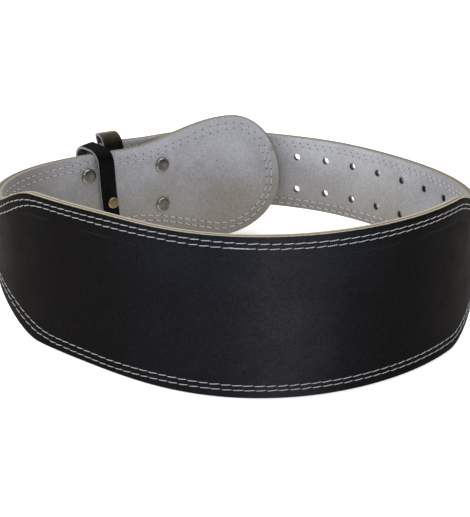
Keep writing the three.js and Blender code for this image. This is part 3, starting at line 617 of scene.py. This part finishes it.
def stitchSide(name, surfaceDepth, outwards, length, radius, thread):
    points, quads, plies, kinds = [], [], [], []
    count = 0
    for key in ("outer", "inner"):
        bottomS, bottomH = bandPoints(rowReach(key, -1)[:, None], -1)
        topS, topH = bandPoints(rowReach(key, 1)[:, None], 1)
        pathS = np.concatenate([bottomS[:, 0], topS[::-1, 0][1:]])
        pathH = np.concatenate([bottomH[:, 0], topH[::-1, 0][1:]])
        run = np.concatenate([[0], np.cumsum(np.hypot(np.diff(pathS), np.diff(pathH)))])
        number = round(run[-1] / stitch["pitch"])
        centre = (np.arange(number) + 0.5) * run[-1] / number
        needles = np.arange(number) * run[-1] / number
        slip = random.normal(0, 0.12, number)
        half = length / 2 * (1 + random.normal(0, 0.05, number))
        if key == "inner" and outwards > 0:
            # where the seam was started its first stitches were sewn over once more
            seam = np.interp(-3.0, edgeAt, np.arange(stations))
            seam = np.interp(2 * (stations - 1) - seam, np.arange(len(run)), run)
            centre = np.concatenate([centre, seam + np.array([-4.6, 1.2, 5.0])])
            slip, half = np.append(slip, [0, 0, 0]), np.append(half, [2.6, 3.0, 2.2])
            number += 3
        a = np.array([-1.0, -0.9, -0.55, 0.0, 0.55, 0.9, 1.0])
        thick = np.array([0.4, 0.75, 1.0, 1.0, 1.0, 0.75, 0.4])
        lift = np.array([-1.1, -0.1, 0.5, 0.7, 0.5, -0.1, -1.1])
        at = centre[:, None] + slip[:, None] + half[:, None] * a
        alongS, alongH = np.interp(at, run, pathS), np.interp(at, run, pathH)
        ahead = (np.interp(at + 0.5, run, pathS) - np.interp(at - 0.5, run, pathS), np.interp(at + 0.5, run, pathH) - np.interp(at - 0.5, run, pathH))
        ahead = np.stack(ahead) / np.hypot(*ahead)
        slanted = (stitch["slant"] + random.normal(0, 0.05, number))[:, None] * a
        angle = np.arange(8) * math.pi / 4
        sideways = slanted[..., None] + radius * thick[:, None] * np.cos(angle)
        raised = radius * lift[:, None] - 0.2 + radius * 0.85 * thick[:, None] * np.sin(angle)
        s = alongS[..., None] - ahead[1][..., None] * sideways
        h = alongH[..., None] + ahead[0][..., None] * sideways
        depth = surfaceDepth + outwards * np.broadcast_to(raised, s.shape)
        tube = stripPoint(s, h, depth)
        cells = gridQuads(7, 8, closeColumns=True).reshape(-1, 4)
        offsets = count + 56 * np.arange(number)[:, None, None]
        quads += (cells[None] + offsets).reshape(-1, 4).tolist()
        caps = np.stack([np.arange(8)[::-1], 48 + np.arange(8)])
        quads += (caps[None] + offsets).reshape(-1, 8).tolist()
        kinds += [0] * (number * 50)
        points.append(tube.reshape(-1, 3))
        plies.append((at[..., None] * 5.2 + angle).ravel())
        count += 56 * number
        number = len(needles)
        # needle holes: a shallow dish at each end of a stitch, coloured dark as painted shade for the depth of the hole
        rim = np.arange(8) * math.pi / 4
        at = needles[:, None]
        dishS, dishH = np.interp(at, run, pathS), np.interp(at, run, pathH)
        reach = np.array([0.0, 0.48, 0.7])[:, None, None]
        s = dishS + reach * np.cos(rim) + 0 * dishS
        h = dishH + reach * np.sin(rim)
        sunk = np.array([-0.16, -0.155, -0.42])[:, None, None] * np.ones_like(s)
        under = np.full_like(s[:1], -0.6)
        dish = np.stack([*stripPoint(s, h, surfaceDepth + outwards * sunk), stripPoint(s[:1], h[:1], surfaceDepth + outwards * under)[0]], axis=1)
        cells = gridQuads(4, 8, closeColumns=True).reshape(-1, 4)
        offsets = count + 32 * np.arange(number)[:, None, None]
        quads += (cells[None] + offsets).reshape(-1, 4).tolist()
        kinds += [1] * (number * 24)
        points.append(dish.reshape(-1, 3))
        plies.append(np.zeros(32 * number))
        count += 32 * number
    piece = makePiece(name, np.concatenate(points), quads, [thread, needleHole], {"ply": np.concatenate(plies)}, kinds, merge=1e-7)
    return piece


outerStitches = stitchSide("outerStitches", belt["wall"], 1, stitch["length"], stitch["radius"], whiteThread)
innerStitches = stitchSide("innerStitches", 0.0, -1, stitch["length"] - 0.9, stitch["radius"] + 0.03, greyThread)
print("stitches:", len(outerStitches.data.polygons), "and", len(innerStitches.data.polygons), "faces")

# ---- leather bands

rivet = {"reaches": (25.1, 87.6), "spacing": 32.0, "radius": 5.9, "height": 2.0, "smallRadius": 4.4, "smallHeight": 1.5,
         "smallDrop": 6.9, "smallSide": 3.0, "shank": 1.8}

strapOuterDepth = belt["wall"] + 2 * (0.3 + 2.4)
band = {"thickness": 2.2}
standOff = 0.8


def roundedOutline(width, height, nearCorner, farCorner, cornerSteps=12, sideSteps=(10, 24)):
    # points and outward directions round a rectangle with round corners, the far ones at +x, sides split evenly
    corners = []
    for number, (sx, sy) in enumerate(((1, 1), (-1, 1), (-1, -1), (1, -1))):
        corner = farCorner if sx > 0 else nearCorner
        angle = math.pi / 2 * (number + np.linspace(0, 1, cornerSteps + 1))
        fx, fy = np.cos(angle), np.sin(angle)
        corners.append(np.stack([sx * (width / 2 - corner) + corner * fx, sy * (height / 2 - corner) + corner * fy, fx, fy]))
    parts = []
    for number, arc in enumerate(corners):
        after = corners[(number + 1) % 4]
        steps = sideSteps[number % 2]
        share = np.linspace(0, 1, steps + 1)[1:-1]
        parts += [arc, blendTo(arc[:, -1:], after[:, :1], share)]
    return np.concatenate(parts, axis=1)


def sectionOutline(width, thickness, rounding, steps=5):
    # closed section of a strap: across from edge to edge on the top face, round, and back below
    q, g = [], []
    for sx, sy in ((1, 1), (-1, 1), (-1, -1), (1, -1)):
        start = {(1, 1): 0, (-1, 1): 1, (-1, -1): 2, (1, -1): 3}[(sx, sy)]
        angle = math.pi / 2 * (start + np.linspace(0, 1, steps))
        q.append(sx * (width / 2 - rounding) + rounding * np.cos(angle))
        g.append(thickness / 2 + sy * (thickness / 2 - rounding) + rounding * np.sin(angle))
    q, g = np.concatenate(q), np.concatenate(g)
    between = []
    for a, b in zip(range(len(q)), np.roll(np.arange(len(q)), -1)):
        parts = 6 if abs(q[a] - q[b]) > width / 2 else 1
        share = np.arange(parts) / parts
        between.append(np.stack([blendTo(q[a], q[b], share), blendTo(g[a], g[b], share)]))
    return np.concatenate(between, axis=1)


def leatherRing(name, distance, depths, heights, corners, width, lean, swing, ageAndSheen, bow=0.0, pinned=0.0, drop=0.0):
    # band closed round the strip: a rounded section carried round a rounded outline, leaning and swinging;
    # its near run bows off the strip, least at the height where a rivet pins it
    t = band["thickness"]
    depth0, height0 = np.mean(depths), np.mean(heights)
    clear = (depths[1] - depths[0], heights[1] - heights[0])
    right, left = (roundedOutline(*clear, c["near"], c["far"]) for c in corners)
    q, g = sectionOutline(width, t, 0.55)
    share = (q / width + 0.5)[None, :]
    x, y, fx, fy = (blendTo(right[k][:, None], left[k][:, None], share) for k in range(4))
    crown = 0.18 * (1 - (2 * q / width) ** 2) * np.where(g > t / 2, 1, 0)  # the face is slightly rounded
    grown = (g + crown)[None, :]
    across, up = depth0 + x + grown * fx, height0 + y + grown * fy
    reach = np.maximum(0, across - depths[0])
    turned = swing * np.minimum(1, reach / clear[0])
    side = q[None, :] + 0 * x
    shift = side * np.cos(turned) + lean * up + reach * math.tan(swing)
    near = np.clip(0.5 - x / clear[0], 0, 1)
    across = across - side * np.sin(turned) - near * (standOff * (bow > 0) + bow * ease((np.abs(up - pinned) - 3) / 32))
    up = up * (1 - drop * near / clear[1] * 2)
    s = distance + shift
    points = stripPoint(s, up + middleAt(distance) - middleAt(s), across)
    layer = np.broadcast_to(g / t, across.shape)
    edge = np.broadcast_to(width / 2 - np.abs(q), across.shape)
    quads = gridQuads(*across.shape, closeRows=True, closeColumns=True).reshape(-1, 4).tolist()
    # an old band is rubbed along its edges, and it is lighter over its top, most at its far bend, as painted highlight
    # over the wear
    edge = edge * (1 - 0.65 * ageAndSheen)
    onTop = ease((y - clear[1] / 2 + 6) / 5)
    rubAndSheen = ageAndSheen * (0.4 + onTop * (0.7 + 2.2 * np.exp(-((x - clear[0] / 2) / 4.0) ** 2)))
    return makePiece(name, points, quads, [strapLeather], {"layer": layer, "edge": edge, "ageAndSheen": rubAndSheen})


keeper = {"distance": heel + 72.3, "width": 13.2, "lean": 0.097, "swing": math.radians(9.5), "headroom": 2.4, "slack": 1.2,
          "corners": ({"near": 7.5, "far": 4.2}, {"near": 7.5, "far": 9.5}), "tongueDepth": 22.705, "bow": 2.3, "drop": 1.0}
keeperHalf = belt["neckWidth"] / 2 + keeper["headroom"]
keeperBand = leatherRing("keeperBand", keeper["distance"], (-0.3, keeper["tongueDepth"] + keeper["slack"]), (-keeperHalf, keeperHalf),
                         keeper["corners"], keeper["width"], keeper["lean"], keeper["swing"], 0.0, keeper["bow"], -rivet["smallDrop"], keeper["drop"])
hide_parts("keeper_band")

loose = {"distance": belt["prongHole"] + 78.8, "width": 16.0, "lean": 0.2, "headroom": 4.8, "slack": 2.0,
         "corners": ({"near": 5.0, "far": 1.3}, {"near": 5.0, "far": 1.3})}
looseHalf = belt["tongueWidth"] / 2 + loose["headroom"]
tongueLoop = leatherRing("tongueLoop", loose["distance"], (-0.3, belt["wall"] + loose["slack"]), (-looseHalf, looseHalf),
                         loose["corners"], loose["width"], loose["lean"], 0.0, 1.0)
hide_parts("tongue_loop")
print("keepers made")

# ---- buckle strap: one leather strap, out along the neck, round the heel bar and back over itself

strap = {"thickness": 2.4, "width": 48.0, "reach": 102.0, "fold": 17.0, "gap": 0.3}
buckle = {
    "bar": 2.5, "length": 40.4, "height": 70.0, "corner": 8.0, "roller": 4.0, "rollerLength": 54.0,
    "prong": 1.9, "overhang": 6.0, "eye": 4.4, "eyeLength": 6.0,
    "heelDepth": 11.8, "rollerCentre": (-14.967, 166.912), "prongEnd": (-14.833, 175.326),
}
heelX, heelY = planPoint(heel, buckle["heelDepth"])
heelCentre = np.array([float(heelX), float(heelY)])
rollerCentre = np.array(buckle["rollerCentre"]) + np.array(belt["centre"])
prongEnd = np.array(buckle["prongEnd"]) + np.array(belt["centre"])
prongMiddle = float(middleAt(belt["prongHole"]))


def strapPath():
    # plan line: inner leg, half turn round the bar, and the outer leg that closes down on the inner one
    radius = buckle["bar"] + strap["gap"] + strap["thickness"] / 2
    tail = heel + strap["reach"]
    inner = belt["wall"] + strap["gap"] + strap["thickness"] / 2
    outer = strapOuterDepth - strap["thickness"] / 2
    legIn = np.linspace(tail, heel, 50)
    angle = np.linspace(0, math.pi, 26)[1:-1]
    opening = np.linspace(0, 1, 16)
    legOut = np.linspace(heel + strap["fold"], tail, 44)[1:]
    distance = np.concatenate([legIn, heel + 0 * angle, heel + strap["fold"] * opening, legOut])
    depth = np.concatenate([inner + 0 * legIn, buckle["heelDepth"] - radius * np.cos(angle),
                            blendTo(buckle["heelDepth"] + radius, outer, ease(opening)), outer + 0 * legOut])
    shift = np.concatenate([0 * legIn, -radius * np.sin(angle), 0 * opening, 0 * legOut])
    x, y = planPoint(distance, depth)
    ax, ay = np.interp(distance, routeDistance, alongX), np.interp(distance, routeDistance, alongY)
    return x + ax * shift, y + ay * shift


def makeStrap():
    x, y = strapPath()
    tx, ty = np.gradient(x), np.gradient(y)
    size = np.hypot(tx, ty)
    nx, ny = ty / size, -tx / size  # to the right of the path, which is the outside of the fold
    q, g = sectionOutline(strap["width"], strap["thickness"], 0.6)
    off = g - strap["thickness"] / 2
    px = x[:, None] + nx[:, None] * off
    py = y[:, None] + ny[:, None] * off
    pz = belt["backWidth"] / 2 + np.broadcast_to(q, px.shape)
    points = np.stack([px, py, pz], axis=-1) * mm
    rows, columns = px.shape
    quads = gridQuads(rows, columns, closeColumns=True).reshape(-1, 4).tolist()
    quads += [list(range(columns))[::-1], list(range((rows - 1) * columns, rows * columns))]
    layer = np.broadcast_to(g / strap["thickness"], px.shape)
    edge = np.broadcast_to(strap["width"] / 2 - np.abs(q), px.shape)
    return makePiece("buckleStrap", points, quads, [strapLeather], {"layer": layer, "edge": edge, "ageAndSheen": np.full(edge.shape, 0.3)})


def cutSlots(piece, radius, length):
    # round slots through the fold, where the prongs' eyes sit
    for side in (-1, 1):
        bpy.ops.mesh.primitive_cylinder_add(vertices=40, radius=radius * mm, depth=length * mm,
                                            location=(heelCentre[0] * mm, heelCentre[1] * mm, (prongMiddle + side * holes["spacing"] / 2) * mm))
        cutter = bpy.context.object
        cut = piece.modifiers.new("slot", "BOOLEAN")
        cut.operation, cut.object, cut.solver = "DIFFERENCE", cutter, "EXACT"
        graph = bpy.context.evaluated_depsgraph_get()
        mesh = bpy.data.meshes.new_from_object(piece.evaluated_get(graph))
        piece.modifiers.clear()
        piece.data = mesh
        bpy.data.objects.remove(cutter)


foldedStrap = makeStrap()
cutSlots(foldedStrap, buckle["bar"] + strap["gap"] + strap["thickness"] + 0.8, buckle["eyeLength"] + 1.6)
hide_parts("buckle_strap")
print("buckle strap made")

# ---- buckle

reachWay = rollerCentre - heelCentre
reachWay /= np.hypot(*reachWay)
liftWay = np.array([-reachWay[1], reachWay[0]])
if liftWay @ rollerCentre < 0:
    liftWay = -liftWay


def buckleFrame():
    # round wire carried round a rounded rectangle that stands on edge
    x, y, fx, fy = roundedOutline(buckle["length"], buckle["height"], buckle["corner"], buckle["corner"], 14, (10, 20))
    angle = np.linspace(0, 2 * math.pi, 20, endpoint=False)
    sideways, raised = buckle["bar"] * np.cos(angle), buckle["bar"] * np.sin(angle)
    along = (x + buckle["length"] / 2)[:, None] + sideways * fx[:, None]
    plan = heelCentre + reachWay * along[..., None] + liftWay * np.broadcast_to(raised, along.shape)[..., None]
    z = prongMiddle + y[:, None] + sideways * fy[:, None]
    points = np.concatenate([plan, z[..., None]], axis=-1) * mm
    quads = gridQuads(*along.shape, closeRows=True, closeColumns=True).reshape(-1, 4).tolist()
    return makePiece("buckleFrame", points, quads, [nickelPlate])


def lathe(name, profile, origin, axis, material, sides=48, closed=False, rub=None):
    # profile of (radius, height) turned about an axis through the origin, given in millimetres
    axis = Vector(axis).normalized()
    first = axis.orthogonal().normalized()
    second = axis.cross(first)
    angle = np.linspace(0, 2 * math.pi, sides, endpoint=False)
    radius, height = np.array(profile, dtype=float).T
    ring = radius[:, None, None] * (np.cos(angle)[None, :, None] * np.array(first) + np.sin(angle)[None, :, None] * np.array(second))
    points = (np.array(origin) + ring + height[:, None, None] * np.array(axis)) * mm
    quads = gridQuads(len(profile), sides, closeRows=closed, closeColumns=True).reshape(-1, 4).tolist()
    return makePiece(name, points, quads, [material], {} if rub is None else {"rub": np.repeat(rub, sides)})


def prong(name, side):
    # flat wire: an eye turned round the heel bar, and a tapered shaft whose end bends over the roller
    z = prongMiddle + side * holes["spacing"] / 2
    line = prongEnd - heelCentre
    length = float(np.hypot(*line))
    line /= length
    across = np.array([-line[1], line[0]])
    if across @ liftWay < 0:
        across = -across
    share = np.linspace(0.0, 1.0, 60)
    at = blendTo(buckle["bar"] + 0.6, length, share)
    bend = 0.55 * np.sin(math.pi * np.clip((share - 0.2) / 0.8, 0, 1)) + 0.25 * ease((0.18 - share) / 0.18)
    taper = 1 - 0.36 * ease((share - 0.72) / 0.28)
    tip = np.sqrt(np.clip(1 - ((share - 0.965) / 0.035).clip(0, 1) ** 2, 0, 1))
    angle = np.linspace(0, 2 * math.pi, 20, endpoint=False)
    radius = (buckle["prong"] * taper * tip)[:, None]
    off = bend[:, None] + radius * 0.9 * np.cos(angle)
    plan = heelCentre + line * (at[:, None] + 0 * off)[..., None] + across * off[..., None]
    points = np.concatenate([plan, (z + radius * np.sin(angle))[..., None]], axis=-1) * mm
    rows, columns = off.shape
    quads = gridQuads(rows, columns, closeColumns=True).reshape(-1, 4).tolist() + [list(range(columns))]
    shaft = makePiece(name, points, quads, [nickelPlate])
    half, inner, outer = buckle["eyeLength"] / 2, buckle["bar"] + 0.04, buckle["eye"]
    profile = [(inner, -half + 0.3), (inner + 0.3, -half), (outer - 0.6, -half), (outer - 0.15, -half + 0.3), (outer, -half + 1.0),
               (outer, half - 1.0), (outer - 0.15, half - 0.3), (outer - 0.6, half), (inner + 0.3, half), (inner, half - 0.3)]
    eye = lathe(name + "Eye", profile, (*heelCentre, z), (0, 0, 1), nickelPlate, closed=True)
    return shaft, eye


frameWire = buckleFrame()
half, tube, bore = buckle["rollerLength"] / 2, buckle["roller"], buckle["bar"] + 0.2
rollerProfile = [(bore, -half + 0.4), (bore + 0.4, -half), (tube - 0.5, -half), (tube - 0.12, -half + 0.25), (tube, -half + 0.7),
                 (tube, -half / 2), (tube, 0), (tube, half / 2), (tube, half - 0.7), (tube - 0.12, half - 0.25), (tube - 0.5, half),
                 (bore + 0.4, half), (bore, half - 0.4)]
roller = lathe("buckleRoller", rollerProfile, (*rollerCentre, prongMiddle), (0, 0, 1), nickelPlate, closed=True)
buckleParts = [frameWire, roller, *prong("prongUpper", 1), *prong("prongLower", -1)]
for part in buckleParts:
    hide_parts("buckle")
print("buckle made")

# ---- rivets

def makeRivet(name, distance, height, radius, cap, low, high, material):
    # domed cap, shank and domed cap as one turned profile; each cap is a low dome with a turned-down rim
    dome = [(0.0, 1.0), (0.35, 0.992), (0.55, 0.965), (0.67, 0.925), (0.76, 0.865), (0.83, 0.79), (0.89, 0.67), (0.94, 0.51), (0.975, 0.32), (0.997, 0.12),
            (1.0, 0.04), (0.985, 0.0), (0.93, -0.03)]
    profile = [(radius * r, low - cap * h) for r, h in dome] + [(rivet["shank"], low), (rivet["shank"], high)]
    profile += [(radius * r, high + cap * h) for r, h in dome[::-1]]
    rub = [float(ease((r / radius - 0.74) / 0.14)) for r, h in profile]
    x, y = planPoint(distance, 0.0)
    ax, ay = float(np.interp(distance, routeDistance, alongX)), float(np.interp(distance, routeDistance, alongY))
    piece = lathe(name, profile, (float(x), float(y), float(middleAt(distance)) + height), (ay, -ax, 0), material, 40, rub=rub)
    return piece


for label, reach in zip(("near", "far"), rivet["reaches"]):
    for level, side in (("upper", 1), ("lower", -1)):
        cap = makeRivet(f"rivet{label.capitalize()}{level.capitalize()}", heel + reach, side * rivet["spacing"] / 2,
                        rivet["radius"], rivet["height"], -0.25, strapOuterDepth + 0.25, nickelPlate)
        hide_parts(f"rivet_{label}_{level}")
smallRivet = makeRivet("keeperRivet", keeper["distance"] - rivet["smallSide"], -rivet["smallDrop"],
                       rivet["smallRadius"], rivet["smallHeight"], -2.6 - standOff, strapOuterDepth + 0.25, dullBrass)
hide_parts("keeper_rivet")
print("rivets made")

# ---- stage: floor, lights and camera

stage = {"floor": 36.0, "camera": (0.376 * mm, -839.99 * mm, 341.0 * mm), "pitch": 20.4405, "lens": 88.29}
bpy.ops.mesh.primitive_plane_add(size=stage["floor"], location=(0, 0, -0.0004))
floor = bpy.context.object
floor.name = "paleFloor"
floorMaterial, tree, shader = newMaterial("paleFloor", 0.9, specular=0.1)
speck = noiseIn(tree, addNode(tree, "ShaderNodeTexCoord").outputs["Object"], 3.0, 2.0)
tree.links.new(mixColours(tree, speck, (0.86, 0.86, 0.86), (0.88, 0.88, 0.88)), shader.inputs["Base Color"])
shader.inputs["Emission Color"].default_value = (1, 1, 1, 1)
shader.inputs["Emission Strength"].default_value = 0.55
floor.data.materials.append(floorMaterial)


def addLight(name, place, target, size, power, colour):
    light = bpy.data.lights.new(name, "AREA")
    light.shape, light.size, light.size_y = "RECTANGLE", *size
    light.energy, light.color = power, colour
    lamp = bpy.data.objects.new(name, light)
    lamp.location = place
    lamp.rotation_euler = (Vector(target) - Vector(place)).to_track_quat("-Z", "Y").to_euler()
    bpy.context.scene.collection.objects.link(lamp)
    return lamp


addLight("overhead", (0.0, 0.1, 2.2), (0, 0, 0.05), (2.6, 2.6), 46, (0.95, 0.975, 1.0))
addLight("windowLeft", (-1.45, 0.05, 1.2), (0, 0.05, 0.05), (0.9, 0.7), 13, (0.97, 0.985, 1.0))
addLight("fillFront", (0.15, -1.7, 0.75), (0, 0, 0.05), (0.7, 0.7), 5, (0.92, 0.96, 1.0))

world = bpy.data.worlds.new("paleRoom")
world.use_nodes = True
world.node_tree.nodes["Background"].inputs["Color"].default_value = (1.0, 0.98, 0.95, 1)
world.node_tree.nodes["Background"].inputs["Strength"].default_value = 0.36
bpy.context.scene.world = world
bpy.context.scene.view_settings.view_transform = "Standard"

lens = bpy.data.cameras.new("camera")
lens.lens, lens.sensor_width = stage["lens"], 36.0
camera = bpy.data.objects.new("camera", lens)
camera.location = stage["camera"]
camera.rotation_euler = (math.radians(90 - stage["pitch"]), 0, 0)
bpy.context.scene.collection.objects.link(camera)
bpy.context.scene.camera = camera
